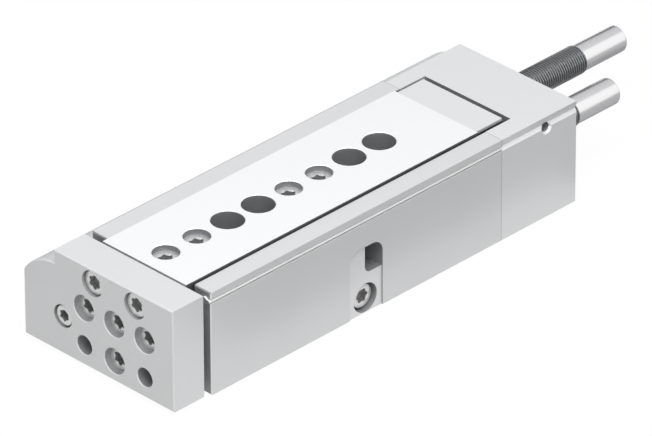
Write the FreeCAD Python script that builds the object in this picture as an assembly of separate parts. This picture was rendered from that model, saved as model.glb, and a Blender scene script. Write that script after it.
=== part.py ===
"""Compact pneumatic slide table with a ball cage guide and two rear end stops.

The origin lies on the underside, on the slide's centre line, at the centre of
the four base screw holes. +X is the way the table advances, +Z is up, and the
drive cylinder lies in the low shoulder on the -Y side. All sizes are in mm.
"""
import FreeCAD, Part
import math
import os

V = FreeCAD.Vector

# Travel
stroke = 50.0

# Housing, the fixed body
body_half = 26.4
shoulder_width = 14.1
body_height = 37.3
body_length = 129.8
front_past_screws = 6.45
shoulder_centre_rise = 1.8
shoulder_radius = 16.1
floor_thickness = 4.6
side_wall = 7.2
channel_wall = 13.4
outline_chamfer = 0.35

# Rear cap, screwed to the back of the housing
cap_length = 34.6
cap_wall = 23.1
cap_cavity_step = 0.1
cap_floor = 9.0
cap_left_bevel = 1.0
cap_screw_edge = 5.0
cap_screw_low_z = 7.0
cap_screw_high_z = 18.0
shoulder_screw_low_z = 5.8
shoulder_screw_rise = 12.2
shoulder_screw_inset = 9.0

# Side groove and sensor slots
groove_depth = 0.95
groove_top_drop = 3.0
groove_height = 4.1
slot_mouth = 1.7
slot_lip = 1.2
slot_radius = 1.5
slot_overlap = 0.3
slot_drop = 3.3
left_slot_rise = 6.0
cover_gap = 0.25
cover_sink = 0.05
cover_out = 0.6

# Side pocket with its window and clamping screw
pocket_width = 14.7
pocket_depth = 0.5
pocket_centre_x = -1.2
pocket_below_shelf = 0.4
pocket_corner = 4.5
window_width = 7.5
window_sill_z = 14.3
window_corner = 2.5
pocket_screw_z = 5.4
pocket_screw_sink = 1.5
pocket_screw_ring = 1.8
pocket_screw_grip = 0.5
pocket_screw_length = 6.0

# End plate at the front of the slide
plate_gap = 2.9
plate_thickness = 13.5
plate_over = 0.4
plate_lift = 1.0

# Table, the ground top of the slide
side_gap = 0.6
table_rise = 0.9
table_flange = 6.6
rib_height = 1.8
stop_block_length = 12.3
stop_block_drop = 0.4
stop_block_bottom = 12.0
stop_block_gap = 2.3
stop_block_inset = 1.1
waist_gap = 0.9
block_m4_y = 12.0
block_m4_drop = 1.4
block_m3_y = 8.0

# Linear guide with balls in a cage on each side
ball_diameter = 3.0
ball_pitch = 8.0
ball_line_inset = 2.2
ball_pocket_clearance = 0.05
rail_height = 4.6
rail_gap = 1.0
rail_recess = 2.6
shelf_gap = 0.3
rail_end_stop = 1.0
end_stop_inset = 0.1
cage_thickness = 0.6
cage_edge = 0.3
cage_end_play = 2.5

# Slide head, which carries the end plate
head_length = 12.0
head_side_gap = 0.6
head_floor_gap = 0.4
head_ear_radius = 3.4

# Hole patterns. Pitches are from hole to hole.
hole_pitch = 13.5
centring_diameter = 9.0
centring_depth = 2.4
access_diameter = 11.0
base_hole_diameter = 6.6
plain_hole_diameter = 6.6
row_above_floor = 3.6
row_below_rail = 3.5
top_screw_y = 9.4
top_screw_above_rail = 2.7
hole_chamfer = 0.25

# Screws: thread, head and head height
m5_thread = 5.0
m5_head = 8.5
m5_head_height = 3.5
m4_thread = 4.0
m4_head = 7.0
m4_head_height = 4.0
m3_thread = 3.0
m3_head = 5.5
m3_head_height = 3.0
head_clearance = 0.05
shank_clearance = 0.25
thread_clearance = 0.02
socket_share = 0.56
socket_depth_share = 0.6
bevel_share = 0.05
thread_length = 8.0
plate_thread = 6.0
m3_thread_length = 6.0
thread_run_out = 0.3
tip_gap = 0.2
hole_bottom_gap = 1.0
flush_sink = 0.3
cap_screw_sink = 0.5
top_screw_sink = 1.0
top_screw_ring = 0.5
rod_screw_sink = 0.5
rod_screw_ring = 1.0
head_approach = 20.0

# Drive cylinder in the shoulder
piston_diameter = 16.0
cylinder_inset = 17.6
cylinder_drop = 22.5
rod_diameter = 8.0
rod_bore_diameter = 12.0
piston_length = 18.0
piston_end_space = 3.0
piston_land = 3.0
seal_width = 2.5
seal_depth = 2.0
magnet_land = 1.5
magnet_recess = 0.2
ring_thickness = 1.2
ring_width = 1.8
spigot_past_piston = 1.5
rear_plug_length = 5.0
plug_seal_width = 1.8
plug_seal_depth = 1.4
rod_spigot = 5.0
bush_length = 12.0
rod_seal_length = 3.0
rod_cover_length = 2.0
rod_cover_inset = 0.2
rod_cover_gap = 0.3
running_clearance = 0.04
seal_clearance = 0.02
piston_clearance = 0.1
side_clearance = 0.1
port_core_diameter = 4.2
port_depth = 6.0
port_passage_diameter = 2.0
front_port_inset = 8.0

# Rear end stops
stop_inset = 2.2
stop_below_rail = 4.2
sleeve_diameter = 10.0
sleeve_bore = 7.6
retract_sleeve_out = 13.1
advance_sleeve_out = 39.3
stud_diameter = 9.3
stud_length = 19.4
stud_round = 0.9
shank_diameter = 7.5
sleeve_set_back = 2.0
plunger_diameter = 3.0
plunger_nose = 5.0
plunger_nose_length = 2.5
plunger_nose_bevel = 0.6
plunger_travel = 3.5
plunger_end_gap = 0.5
plunger_clear = 0.3
absorber_bore = 5.6
absorber_set_back = 2.0
tie_rod_diameter = 5.0
tie_rod_gap = 0.3
collar_diameter = 7.8
collar_length = 6.0
buffer_length = 3.0
stop_clear = 0.1
stop_relief = 0.4
lock_nut_size = 13.0
lock_nut_length = 4.0
spring_wire = 0.6
spring_turns = 7

# Small hole in the side of the cap
cap_hole_core = 3.3
cap_hole_back = 20.5
cap_hole_depth = 6.0

# Sensing magnet in the slide
magnet_diameter = 3.0
magnet_length = 5.0
magnet_x = -13.5

# Widths, worked out from the values above
side_left = body_half + shoulder_width
trough_half = body_half - side_wall
channel_half = body_half - channel_wall
cap_cavity_half = trough_half - cap_cavity_step
table_half = trough_half - side_gap
block_half = table_half - stop_block_inset
head_half = channel_half - head_side_gap
ball_line_y = trough_half - ball_line_inset
inner_rail_half = ball_line_y - rail_gap / 2
outer_rail_face = ball_line_y + rail_gap / 2
outer_rail_back = trough_half + rail_recess
cylinder_y = cylinder_inset - side_left
stop_y = channel_half - stop_inset

# Heights, from the table's top down to the floor of the channel
table_top = body_height + table_rise
flange_bottom = table_top - table_flange
rail_top = flange_bottom - rib_height
rail_bottom = rail_top - rail_height
ball_z = rail_bottom + rail_height / 2
shelf_z = rail_bottom - shelf_gap
outer_rail_top = 2 * ball_z - shelf_z
row_z = rail_bottom - row_below_rail
lower_row_z = floor_thickness + row_above_floor
top_screw_z = rail_top + top_screw_above_rail
plate_top = body_height + plate_over
stop_z = rail_bottom - stop_below_rail
head_bottom = floor_thickness + head_floor_gap
slot_centre_z = body_height - slot_drop
pocket_top_z = shelf_z - pocket_below_shelf
cylinder_z = body_height - cylinder_drop
shoulder_centre_z = cylinder_z + shoulder_centre_rise
shoulder_screw_high_z = cylinder_z + shoulder_screw_rise
left_slot_z = cylinder_z + left_slot_rise
magnet_z = (flange_bottom + table_top) / 2
block_m4_z = magnet_z - block_m4_drop

# Places along the travel, from the rear cap to the end plate
table_screw_holes = [hole_pitch * step for step in (-0.5, 0.5, 3.5, 4.5)]
body_front_x = table_screw_holes[-1] + front_past_screws
body_rear_x = body_front_x - body_length
cap_rear_x = body_rear_x - cap_length
cap_wall_x = cap_rear_x + cap_wall
block_rear_x = cap_wall_x + stop_block_gap
table_rear_x = block_rear_x + stop_block_length
plate_back_x = body_front_x + plate_gap
plate_front_x = plate_back_x + plate_thickness
head_rear_x = plate_back_x - head_length
rail_front_x = body_front_x - rail_end_stop
rail_rear_x = body_rear_x + rail_end_stop
cage_length = rail_front_x - rail_rear_x - stroke / 2 - 2 * cage_end_play
cage_rear_x = rail_rear_x + cage_end_play
plug_front_x = body_rear_x + rear_plug_length
piston_rear_x = plug_front_x + piston_end_space
piston_front_x = piston_rear_x + piston_length
bore_front_x = piston_front_x + stroke + piston_end_space
rear_port_x = plug_front_x + piston_end_space / 2
front_port_x = bore_front_x + front_port_inset
sleeve_front_x = cap_wall_x - sleeve_set_back
absorber_x = cap_rear_x - absorber_set_back
plunger_tip_x = block_rear_x - plunger_clear
nose_back_x = plunger_tip_x - plunger_nose_length
buffer_rear_x = table_rear_x + stroke + stop_clear
collar_rear_x = buffer_rear_x + buffer_length
tie_rod_end_x = collar_rear_x + collar_length

# Hole places
ball_radius = ball_diameter / 2
groove_apex = (ball_radius + running_clearance) * math.sqrt(2)
base_holes = [hole_pitch * step for step in (-2.5, -1.5, 1.5, 2.5)]
plate_m5 = [(-hole_pitch, row_z), (0.0, row_z), (hole_pitch, row_z), (0.0, lower_row_z)]
plate_plain = [(-hole_pitch, lower_row_z), (hole_pitch, lower_row_z)]
plate_top_screws = [(-top_screw_y, top_screw_z), (top_screw_y, top_screw_z)]
block_m4 = [(-block_m4_y, block_m4_z), (block_m4_y, block_m4_z)]
block_m3 = [(-block_m3_y, ball_z), (block_m3_y, ball_z)]
cap_screws = [(body_half - cap_screw_edge, cap_screw_low_z),
              (body_half - cap_screw_edge, cap_screw_high_z),
              (cap_screw_edge - side_left, shoulder_screw_low_z),
              (shoulder_screw_inset - side_left, shoulder_screw_high_z)]


def box(x0, x1, y0, y1, z0, z1):
    return Part.makeBox(x1 - x0, y1 - y0, z1 - z0, V(x0, y0, z0))


def rod_x(radius, x0, x1, y, z):
    return Part.makeCylinder(radius, x1 - x0, V(x0, y, z), V(1, 0, 0))


def rod_y(radius, y0, y1, x, z):
    return Part.makeCylinder(radius, y1 - y0, V(x, y0, z), V(0, 1, 0))


def rod_z(radius, z0, z1, x, y):
    return Part.makeCylinder(radius, z1 - z0, V(x, y, z0), V(0, 0, 1))


def tube_x(outer, inner, x0, x1, y, z):
    return rod_x(outer, x0, x1, y, z).cut(rod_x(inner, x0 - 1, x1 + 1, y, z))


def turned(points, origin, axis):
    """Solid of revolution: points are (distance along the axis, radius)."""
    line = [V(r, 0, along) for along, r in points]
    face = Part.Face(Part.makePolygon(line + [line[0]]))
    solid = face.revolve(V(0, 0, 0), V(0, 0, 1), 360)
    turn = FreeCAD.Rotation(V(0, 0, 1), axis)
    solid.Placement = FreeCAD.Placement(origin, turn)
    return solid


def profile_x(points, x0, x1):
    """Prism along X from (y, z) corners."""
    line = [V(x0, y, z) for y, z in points]
    face = Part.Face(Part.makePolygon(line + [line[0]]))
    return face.extrude(V(x1 - x0, 0, 0))


def fuse_all(shapes):
    shape = shapes[0]
    if len(shapes) > 1:
        shape = shape.multiFuse(shapes[1:])
    return shape.removeSplitter()


def save(name, *solids):
    flat = []
    for shape in solids:
        flat.extend(shape.Solids)
    shape = flat[0] if len(flat) == 1 else Part.makeCompound(flat)
    shape.exportStep("parts/" + name + ".step")
    print(name, len(flat), round(shape.Volume, 2), shape.isValid())


def outline_wire(x, z0, z1, inset):
    """Outer section of housing, cap and end plate: a block with a low round shoulder."""
    radius = shoulder_radius - inset
    wall = -body_half + inset
    left = -side_left + inset
    foot_z = shoulder_centre_z + math.sqrt(radius ** 2 - inset ** 2)
    corner_z = shoulder_centre_z + math.sqrt(radius ** 2 - (left + body_half) ** 2)
    angle = math.atan2(corner_z - shoulder_centre_z, left + body_half)
    angle = (angle + math.pi / 2) / 2
    middle = V(x, -body_half + radius * math.cos(angle),
               shoulder_centre_z + radius * math.sin(angle))
    low = z0 + inset
    high = z1 - inset
    right = body_half - inset
    foot = V(x, wall, foot_z)
    corner = V(x, left, corner_z)
    edges = [Part.makeLine(V(x, right, low), V(x, right, high)),
             Part.makeLine(V(x, right, high), V(x, wall, high)),
             Part.makeLine(V(x, wall, high), foot),
             Part.Arc(foot, middle, corner).toShape(),
             Part.makeLine(corner, V(x, left, low)),
             Part.makeLine(V(x, left, low), V(x, right, low))]
    return Part.Wire(edges)


def outline(x0, x1, z0, z1, rear_edge, front_edge):
    """Prism of the outer section with its end edges broken by the given chamfers."""
    main = Part.Face(outline_wire(x0 + rear_edge, z0, z1, 0.0))
    solid = main.extrude(V(x1 - front_edge - x0 - rear_edge, 0, 0))
    for x, edge, way in ((x0, rear_edge, 1), (x1, front_edge, -1)):
        if edge:
            wires = [outline_wire(x + way * edge, z0, z1, 0.0), outline_wire(x, z0, z1, edge)]
            solid = solid.fuse(Part.makeLoft(wires, True, True))
    return solid.removeSplitter()


def counterbore(origin, axis, radius, depth):
    """Cutter for a flat-bottomed hole with a small chamfer at its mouth."""
    over = 0.5
    points = [(over, 0.0), (over, radius + hole_chamfer + over), (-hole_chamfer, radius),
              (-depth, radius), (-depth, 0.0)]
    return turned(points, origin, axis)


def screw(head_top, axis, head, head_height, thread, length):
    """Socket head screw; axis points out of the head, length is below the head."""
    bevel = bevel_share * head
    socket = socket_share * head / 2
    deep = socket_depth_share * head_height
    points = [(0.0, socket), (0.0, head / 2 - bevel), (-bevel, head / 2),
              (-head_height, head / 2), (-head_height, thread / 2),
              (-head_height - length + bevel, thread / 2),
              (-head_height - length, thread / 2 - bevel), (-head_height - length, 0.0),
              (-deep, 0.0), (-deep, socket)]
    return turned(points, head_top, axis)


def screw_hole(head_top, axis, head, head_height, thread, grip, threaded):
    """Cutter for a screw: open head seat, clearance through the grip, then any thread."""
    seat = head / 2 + head_clearance
    free = thread / 2 + shank_clearance
    core = thread / 2 + thread_clearance
    under = -head_height - grip
    points = [(head_approach, 0.0), (head_approach, seat), (-head_height, seat),
              (-head_height, free), (under, free)]
    if threaded:
        points += [(under, core), (under - threaded, core), (under - threaded, 0.0)]
    else:
        points += [(under, 0.0)]
    return turned(points, head_top, axis)


def thread_x(thread, x0, x1, y, z):
    """Cutter for a threaded hole along X."""
    return rod_x(thread / 2 + thread_clearance, x0, x1, y, z)


def thread_z(thread, z0, z1, x, y):
    """Cutter for a threaded hole along Z."""
    return rod_z(thread / 2 + thread_clearance, z0, z1, x, y)


def side_groove(x0, x1):
    """Shallow V along the top of the right side."""
    points = [(body_half + 1, body_height + 1), (body_half, body_height + 1),
              (body_half, body_height), (body_half - groove_depth, body_height - groove_top_drop),
              (body_half, body_height - groove_height), (body_half + 1, body_height - groove_height)]
    return profile_x(points, x0, x1)


def left_bevel(x0, x1):
    """Bevel along the top of the left side."""
    wall = -body_half
    points = [(wall - 1, body_height + 1), (wall + cap_left_bevel, body_height + 1),
              (wall + cap_left_bevel, body_height), (wall, body_height - cap_left_bevel),
              (wall - 1, body_height - cap_left_bevel)]
    return profile_x(points, x0, x1)


def sensor_slot(face_y, inward, z, x0, x1):
    """Round-bottomed slot with narrower lips; inward is -1 or +1 along Y."""
    centre = face_y + inward * (slot_lip + slot_radius - slot_overlap)
    mouth_y = sorted((face_y - inward, centre))
    mouth = box(x0, x1, mouth_y[0], mouth_y[1], z - slot_mouth / 2, z + slot_mouth / 2)
    return mouth.fuse(rod_x(slot_radius, x0, x1, centre, z))


def head_profile(grow):
    """Slide head section and, grown by a clearance, the pocket it rests in."""
    x0 = head_rear_x - grow
    x1 = plate_back_x
    bottom = head_bottom - grow
    ear = head_ear_radius + grow
    shapes = [box(x0, x1, -head_half - grow, head_half + grow, bottom, rail_bottom),
              box(x0, x1, -hole_pitch - ear, hole_pitch + ear, row_z, rail_bottom)]
    for side in (-1, 1):
        shapes.append(rod_x(ear, x0, x1, side * hole_pitch, row_z))
    below_rail = box(x0, x1, -side_left, side_left, bottom, rail_bottom)
    return fuse_all(shapes).common(below_rail)


def cylinder_cavity():
    """Bore for the piston, the narrower rod bore and the two air ports."""
    y = cylinder_y
    z = cylinder_z
    shapes = [rod_x(piston_diameter / 2, body_rear_x - 1, bore_front_x, y, z),
              rod_x(rod_bore_diameter / 2, bore_front_x - 1, body_front_x + 1, y, z)]
    for x in (rear_port_x, front_port_x):
        shapes.append(rod_y(port_core_diameter / 2, -side_left - 1, port_depth - side_left, x, z))
        shapes.append(rod_y(port_passage_diameter / 2, -side_left, y, x, z))
    return fuse_all(shapes)


def round_corners(solid, radius, places):
    """Fillets the edges along Y that stand at the given (x, z) places."""
    edges = [edge for edge in solid.Edges for x, z in places
             if all(abs(v.X - x) < 1e-4 and abs(v.Z - z) < 1e-4 for v in edge.Vertexes)]
    return solid.makeFillet(radius, edges)


def side_pocket():
    """Shallow recess with round upper corners, its window and the screw's counterbore."""
    face = body_half - pocket_depth
    x0 = pocket_centre_x - pocket_width / 2
    x1 = pocket_centre_x + pocket_width / 2
    recess = box(x0, x1, face, body_half + 1, -1, pocket_top_z)
    recess = round_corners(recess, pocket_corner, [(x0, pocket_top_z), (x1, pocket_top_z)])
    window_front = x0 + window_width
    window = box(x0, window_front, channel_half - 1, body_half + 1, window_sill_z, pocket_top_z)
    window = round_corners(window, pocket_corner, [(x0, pocket_top_z)])
    window = round_corners(window, window_corner, [(window_front, window_sill_z)])
    hole = screw_hole(V(pocket_centre_x, face - pocket_screw_sink, pocket_screw_z), V(0, 1, 0),
                      m5_head + pocket_screw_ring, m5_head_height, m5_thread,
                      pocket_screw_grip, pocket_screw_length)
    return fuse_all([recess, window, hole])


def housing():
    x0 = body_rear_x
    x1 = body_front_x
    body = outline(x0, x1, 0.0, body_height, 0.0, outline_chamfer)
    body = body.cut(box(x0 - 1, x1 + 1, -trough_half, trough_half, shelf_z, body_height + 1))
    body = body.cut(box(x0 - 1, x1 + 1, -channel_half, channel_half, floor_thickness, body_height))
    for side in (-1, 1):
        recess = sorted((side * (trough_half - 1), side * outer_rail_back))
        body = body.cut(box(x0 - 1, x1 + 1, recess[0], recess[1], shelf_z, outer_rail_top))
        relief = collar_diameter / 2 + stop_relief
        body = body.cut(rod_x(relief, x0 - 1, x1 + 1, side * stop_y, stop_z))
    body = body.cut(head_profile(stop_relief))
    body = body.cut(sensor_slot(body_half, -1, slot_centre_z, x0 - 1, x1 + 1))
    body = body.cut(sensor_slot(-side_left, 1, left_slot_z, x0 - 1, x1 + 1))
    body = body.cut(cylinder_cavity())
    body = body.cut(side_pocket())
    for x in base_holes:
        body = body.cut(rod_z(base_hole_diameter / 2, -1, floor_thickness + 1, x, 0))
    for y, z in cap_screws:
        body = body.cut(thread_x(m4_thread, x0 - 1, x0 + thread_length + hole_bottom_gap, y, z))
    save("housing", body)


def slot_cover():
    """Strip snapped into the right sensor slot: round bead outside, wider foot inside."""
    half = slot_mouth / 2 - cover_gap
    bead_y = body_half - cover_sink - half
    foot_y = body_half - slot_lip - slot_radius + slot_overlap
    x0 = body_rear_x
    x1 = body_front_x + cover_out
    save("slot_cover", fuse_all([rod_x(half, x0, x1, bead_y, slot_centre_z),
                                 box(x0, x1, foot_y, bead_y, slot_centre_z - half,
                                     slot_centre_z + half),
                                 rod_x(slot_radius - cover_gap, x0, x1, foot_y, slot_centre_z)]))


def pocket_screw():
    top = V(pocket_centre_x, body_half - pocket_depth - pocket_screw_sink, pocket_screw_z)
    length = pocket_screw_grip + pocket_screw_length - tip_gap
    save("pocket_screw", screw(top, V(0, 1, 0), m5_head, m5_head_height, m5_thread, length))


def rear_cap():
    x0 = cap_rear_x
    x1 = body_rear_x
    cap = outline(x0, x1, 0.0, body_height, outline_chamfer, 0.0)
    cap = cap.cut(box(cap_wall_x, x1 + 1, -cap_cavity_half, cap_cavity_half, cap_floor,
                      body_height + 1))
    cap = cap.cut(side_groove(x0 - 1, x1 + 1))
    cap = cap.cut(left_bevel(x0 - 1, x1 + 1))
    for side in (-1, 1):
        cap = cap.cut(thread_x(sleeve_diameter, x0 - 1, cap_wall_x + 1, side * stop_y, stop_z))
    for y, z in cap_screws:
        top = V(x0 + cap_screw_sink, y, z)
        cap = cap.cut(screw_hole(top, V(-1, 0, 0), m4_head, m4_head_height, m4_thread,
                                 cap_length, 0.0))
    mouth = V(x1 - cap_hole_back, body_half - groove_depth / 2, body_height - groove_height)
    cap = cap.cut(counterbore(mouth, V(0, 1, 0), cap_hole_core / 2, cap_hole_depth))
    save("rear_cap", cap)


def rear_cap_screws():
    length = cap_length - cap_screw_sink - m4_head_height + thread_length
    screws = []
    for y, z in cap_screws:
        top = V(cap_rear_x + cap_screw_sink, y, z)
        screws.append(screw(top, V(-1, 0, 0), m4_head, m4_head_height, m4_thread, length))
    save("rear_cap_screws", *screws)


def end_plate():
    plate = outline(plate_back_x, plate_front_x, plate_lift, plate_top, outline_chamfer,
                    outline_chamfer)
    out = V(1, 0, 0)
    for y, z in plate_m5:
        face = V(plate_front_x, y, z)
        plate = plate.cut(counterbore(face, out, centring_diameter / 2, centring_depth))
        top = V(plate_front_x - centring_depth, y, z)
        plate = plate.cut(screw_hole(top, out, m5_head, m5_head_height, m5_thread,
                                     plate_thickness, 0.0))
    for y, z in plate_plain:
        plate = plate.cut(counterbore(V(plate_front_x, y, z), out, plain_hole_diameter / 2,
                                      plate_thickness + 1))
    for y, z in plate_top_screws:
        top = V(plate_front_x - top_screw_sink, y, z)
        plate = plate.cut(screw_hole(top, out, m5_head + top_screw_ring, m5_head_height, m5_thread,
                                     plate_thickness, 0.0))
    top = V(plate_front_x - rod_screw_sink, cylinder_y, cylinder_z)
    plate = plate.cut(screw_hole(top, out, m4_head + rod_screw_ring, m4_head_height, m4_thread,
                                 plate_thickness, 0.0))
    save("end_plate", plate)


def end_plate_screws():
    out = V(1, 0, 0)
    length = plate_thickness - centring_depth - m5_head_height + plate_thread
    screws = []
    for y, z in plate_m5:
        top = V(plate_front_x - centring_depth, y, z)
        screws.append(screw(top, out, m5_head, m5_head_height, m5_thread, length))
    save("end_plate_screws", *screws)
    length = plate_thickness - top_screw_sink - m5_head_height + thread_length
    screws = []
    for y, z in plate_top_screws:
        top = V(plate_front_x - top_screw_sink, y, z)
        screws.append(screw(top, out, m5_head, m5_head_height, m5_thread, length))
    save("end_plate_top_screws", *screws)
    length = plate_thickness - rod_screw_sink - m4_head_height + thread_length
    top = V(plate_front_x - rod_screw_sink, cylinder_y, cylinder_z)
    save("rod_screw", screw(top, out, m4_head, m4_head_height, m4_thread, length))


def slide_table():
    table = box(table_rear_x, plate_back_x, -table_half, table_half, flange_bottom, table_top)
    table = table.fuse(box(table_rear_x, plate_back_x, -inner_rail_half, inner_rail_half, rail_top,
                           flange_bottom)).removeSplitter()
    up = V(0, 0, 1)
    for x in base_holes:
        table = table.cut(counterbore(V(x, 0, table_top), up, access_diameter / 2,
                                      table_top - rail_top + 1))
    for x in table_screw_holes:
        table = table.cut(counterbore(V(x, 0, table_top), up, centring_diameter / 2,
                                      centring_depth))
        top = V(x, 0, table_top - centring_depth)
        table = table.cut(screw_hole(top, up, m5_head, m5_head_height, m5_thread, table_top, 0.0))
    hole = thread_length + hole_bottom_gap
    for y, z in plate_top_screws:
        table = table.cut(thread_x(m5_thread, plate_back_x - hole, plate_back_x + 1, y, z))
    for y, z in block_m4:
        table = table.cut(thread_x(m4_thread, table_rear_x - 1, table_rear_x + hole, y, z))
    table = table.cut(rod_y(magnet_diameter / 2 + seal_clearance, table_half - magnet_length,
                            table_half + 1, magnet_x, magnet_z))
    save("slide_table", table)


def table_screws():
    screws = []
    for x in table_screw_holes:
        top = V(x, 0, table_top - centring_depth)
        length = top.z - m5_head_height - rail_bottom - tip_gap
        if x > head_rear_x:
            length += thread_length
        screws.append(screw(top, V(0, 0, 1), m5_head, m5_head_height, m5_thread, length))
    save("table_screws", *screws)


def guide_groove(side, apex_side, x0, x1):
    """V cutter whose apex points away from the ball line."""
    apex = side * ball_line_y + apex_side * groove_apex
    mouth = side * ball_line_y
    points = [(apex, ball_z), (mouth, ball_z + groove_apex), (mouth, ball_z - groove_apex)]
    return profile_x(points, x0, x1)


def guide_rail():
    x0 = table_rear_x
    x1 = plate_back_x
    rail = box(x0, x1, -inner_rail_half, inner_rail_half, rail_bottom, rail_top)
    for side in (-1, 1):
        rail = rail.cut(guide_groove(side, -side, x0 - 1, x1 + 1))
    for x in base_holes:
        rail = rail.cut(rod_z(access_diameter / 2, rail_bottom - 1, rail_top + 1, x, 0))
    for x in table_screw_holes:
        rail = rail.cut(thread_z(m5_thread, rail_bottom - 1, rail_top + 1, x, 0))
    for y, z in block_m3:
        rail = rail.cut(thread_x(m3_thread, x0 - 1, x0 + m3_thread_length + hole_bottom_gap, y, z))
    save("guide_rail", rail)


def outer_rails():
    for side, name in ((-1, "left"), (1, "right")):
        y = sorted((side * outer_rail_face, side * outer_rail_back))
        rail = box(rail_rear_x, rail_front_x, y[0], y[1], shelf_z, outer_rail_top)
        rail = rail.cut(guide_groove(side, side, rail_rear_x - 1, rail_front_x + 1))
        save("outer_rail_" + name, rail)


def rail_end_stops():
    """Thin keepers at both ends of each outer rail; they also stop the cages."""
    stops = []
    for side in (-1, 1):
        y = sorted((side * (ball_line_y - end_stop_inset), side * outer_rail_back))
        for x0 in (body_rear_x, rail_front_x):
            stops.append(box(x0, x0 + rail_end_stop, y[0], y[1], shelf_z, outer_rail_top))
    save("rail_end_stops", *stops)


def ball_cages():
    count = int((cage_length - ball_pitch) // ball_pitch) + 1
    first = cage_rear_x + (cage_length - (count - 1) * ball_pitch) / 2
    for side, name in ((-1, "left"), (1, "right")):
        y = side * ball_line_y
        cage = box(cage_rear_x, cage_rear_x + cage_length, y - cage_thickness / 2,
                   y + cage_thickness / 2, rail_bottom + cage_edge, rail_top - cage_edge)
        balls = []
        for step in range(count):
            x = first + step * ball_pitch
            cage = cage.cut(rod_y(ball_radius + ball_pocket_clearance, y - 1, y + 1, x, ball_z))
            balls.append(Part.makeSphere(ball_radius, V(x, y, ball_z)))
        save("ball_cage_" + name, cage)
        save("balls_" + name, *balls)


def slide_head():
    head = head_profile(0.0)
    for y, z in plate_m5:
        head = head.cut(thread_x(m5_thread, plate_back_x - plate_thread - thread_run_out,
                                 plate_back_x + 1, y, z))
    for x in table_screw_holes:
        if x > head_rear_x:
            head = head.cut(thread_z(m5_thread, rail_bottom - thread_length - hole_bottom_gap,
                                     rail_bottom + 1, x, 0))
    save("slide_head", head)


def stop_block():
    x0 = block_rear_x
    x1 = table_rear_x
    waist = ball_line_y - ball_radius - waist_gap
    shapes = [box(x0, x1, -block_half, block_half, flange_bottom, table_top - stop_block_drop),
              box(x0, x1, -waist, waist, rail_bottom, flange_bottom),
              box(x0, x1, -head_half, head_half, stop_block_bottom, rail_bottom)]
    for side in (-1, 1):
        shapes.append(rod_x(collar_diameter / 2, x0, x1, side * stop_y, stop_z))
    block = fuse_all(shapes)
    block = block.cut(rod_x(tie_rod_diameter / 2 + tie_rod_gap, x0 - 1, x1 + 1, -stop_y, stop_z))
    back = V(-1, 0, 0)
    for y, z in block_m4:
        block = block.cut(screw_hole(V(x0 + flush_sink, y, z), back, m4_head, m4_head_height,
                                     m4_thread, stop_block_length, 0.0))
    for y, z in block_m3:
        block = block.cut(screw_hole(V(x0 + flush_sink, y, z), back, m3_head, m3_head_height,
                                     m3_thread, stop_block_length, 0.0))
    save("stop_block", block)


def stop_block_screws():
    back = V(-1, 0, 0)
    grip = stop_block_length - flush_sink
    screws = []
    for y, z in block_m4:
        screws.append(screw(V(block_rear_x + flush_sink, y, z), back, m4_head, m4_head_height,
                            m4_thread, grip - m4_head_height + thread_length))
    for y, z in block_m3:
        screws.append(screw(V(block_rear_x + flush_sink, y, z), back, m3_head, m3_head_height,
                            m3_thread, grip - m3_head_height + m3_thread_length))
    save("stop_block_screws", *screws)


def sensing_magnet():
    save("sensing_magnet", rod_y(magnet_diameter / 2, table_half - magnet_length,
                                 table_half - side_clearance, magnet_x, magnet_z))


def piston_parts():
    y = cylinder_y
    z = cylinder_z
    bore = piston_diameter / 2
    radius = bore - piston_clearance
    core = radius - seal_depth
    rear_seal = (piston_rear_x + piston_land, piston_rear_x + piston_land + seal_width)
    front_seal = (piston_front_x - piston_land - seal_width, piston_front_x - piston_land)
    magnet = (rear_seal[1] + magnet_land, front_seal[0] - magnet_land)
    piston = rod_x(radius, piston_rear_x, piston_front_x, y, z)
    for x0, x1 in (rear_seal, magnet, front_seal):
        piston = piston.cut(tube_x(bore + 1, core, x0, x1, y, z))
    spigot = rod_spigot / 2
    piston = piston.cut(rod_x(spigot + seal_clearance, piston_rear_x - 1, piston_front_x + 1, y, z))
    save("piston", piston)
    save("piston_seals", *[tube_x(bore - seal_clearance, core, x0 + side_clearance,
                                  x1 - side_clearance, y, z) for x0, x1 in (rear_seal, front_seal)])
    save("piston_magnet", tube_x(radius - magnet_recess, core, magnet[0] + side_clearance,
                                 magnet[1] - side_clearance, y, z))
    save("piston_retaining_ring", tube_x(spigot + ring_width, spigot + seal_clearance,
                                         piston_rear_x - ring_thickness, piston_rear_x, y, z))
    shaft = rod_x(rod_diameter / 2, piston_front_x, plate_back_x, y, z)
    shaft = shaft.fuse(rod_x(spigot, piston_rear_x - spigot_past_piston, piston_front_x, y, z))
    shaft = shaft.cut(thread_x(m4_thread, plate_back_x - thread_length - hole_bottom_gap,
                               plate_back_x + 1, y, z))
    save("piston_rod", shaft.removeSplitter())


def rod_guide_parts():
    y = cylinder_y
    z = cylinder_z
    fit = rod_bore_diameter / 2 - seal_clearance
    rod = rod_diameter / 2
    front = body_front_x - rod_cover_inset
    cover_x = front - rod_cover_length
    seal_x = cover_x - rod_seal_length
    bush_x = seal_x - bush_length
    save("rod_bush", tube_x(fit, rod + running_clearance, bush_x, seal_x, y, z))
    save("rod_seal", tube_x(fit, rod + seal_clearance, seal_x, cover_x, y, z))
    save("rod_cover", tube_x(fit, rod + rod_cover_gap, cover_x, front, y, z))


def rear_plug_parts():
    y = cylinder_y
    z = cylinder_z
    radius = piston_diameter / 2 - seal_clearance
    core = radius - plug_seal_depth
    x0 = body_rear_x + (rear_plug_length - plug_seal_width) / 2
    x1 = x0 + plug_seal_width
    plug = rod_x(radius, body_rear_x, plug_front_x, y, z)
    save("rear_plug", plug.cut(tube_x(radius + 1, core, x0, x1, y, z)))
    save("rear_plug_seal", tube_x(radius, core, x0 + side_clearance, x1 - side_clearance, y, z))


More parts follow.
